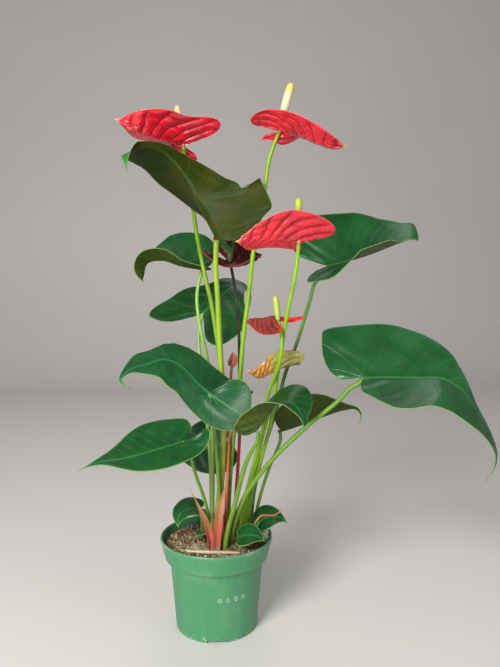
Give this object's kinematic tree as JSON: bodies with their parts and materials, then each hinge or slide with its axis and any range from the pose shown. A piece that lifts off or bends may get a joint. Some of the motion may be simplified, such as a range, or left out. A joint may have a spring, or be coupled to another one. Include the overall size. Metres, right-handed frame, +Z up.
{
  "type": "potted plant",
  "caption": "Potted flowering plant: long-stalked heart-shaped leaves and waxy hooded flowers with upright spikes rise from soil in a tapered round nursery pot.",
  "frame": {"origin": "centre of the pot's underside, on the surface it stands on", "axes": "+Z up, -Y towards the front from which the flowers are seen, +X to the right seen from the front"},
  "size_m": [0.3917, 0.2446, 0.5701],
  "materials": {
    "pot": "matte green plastic with a paler printed panel on the front",
    "soil": "loose brown coconut fibre and peat with pale crumbs and a little moss",
    "leaf": "waxy dark green with paler veins, olive underside",
    "spathe": "glossy red with a raised net of veins",
    "spathe_dark": "dark maroon, glossy",
    "spathe_faded": "ageing flower, orange turning olive",
    "spadix": "cream with a yellow tip, fine beads",
    "spadix_green": "dark green, fine beads",
    "petiole": "smooth light green",
    "stalk": "smooth yellow-green",
    "sheath": "dry papery salmon brown",
    "bud": "reddish brown young flower",
    "root": "pale dry root"
  },
  "bodies": {
    "root": {"bud": "bud", "leaf_back": "leaf", "leaf_front": "leaf", "leaf_left_high": "leaf", "leaf_left_large": "leaf", "leaf_left_low": "leaf", "leaf_rear_low": "leaf", "leaf_right_high": "leaf", "leaf_right_large": "leaf", "leaf_right_low": "leaf", "leaf_round": "leaf", "leaf_soil_left": "leaf", "leaf_soil_right": "leaf", "leaf_tiny": "leaf", "leaf_top": "leaf", "petiole_back": "petiole", "petiole_front": "petiole", "petiole_left_high": "petiole", "petiole_left_large": "petiole", "petiole_left_low": "petiole", "petiole_rear_low": "petiole", "petiole_right_high": "petiole", "petiole_right_large": "petiole", "petiole_right_low": "petiole", "petiole_round": "petiole", "petiole_soil_left": "petiole", "petiole_soil_right": "petiole", "petiole_tiny": "petiole", "petiole_top": "petiole", "pot": "pot", "root_front": "root", "sheath_centre": "sheath", "sheath_left": "sheath", "sheath_right": "sheath", "soil": "soil", "spadix_faded": "spadix", "spadix_middle": "spadix", "spadix_rear": "spadix_green", "spadix_small": "spadix", "spadix_top_left": "spadix", "spadix_top_right": "spadix", "spathe_faded": "spathe_faded", "spathe_middle": "spathe", "spathe_rear": "spathe_dark", "spathe_small": "spathe", "spathe_top_left": "spathe", "spathe_top_right": "spathe", "stalk_bud": "stalk", "stalk_faded": "stalk", "stalk_middle": "stalk", "stalk_rear": "stalk", "stalk_small": "stalk", "stalk_top_left": "stalk", "stalk_top_right": "stalk"}
  },
  "joints": []
}
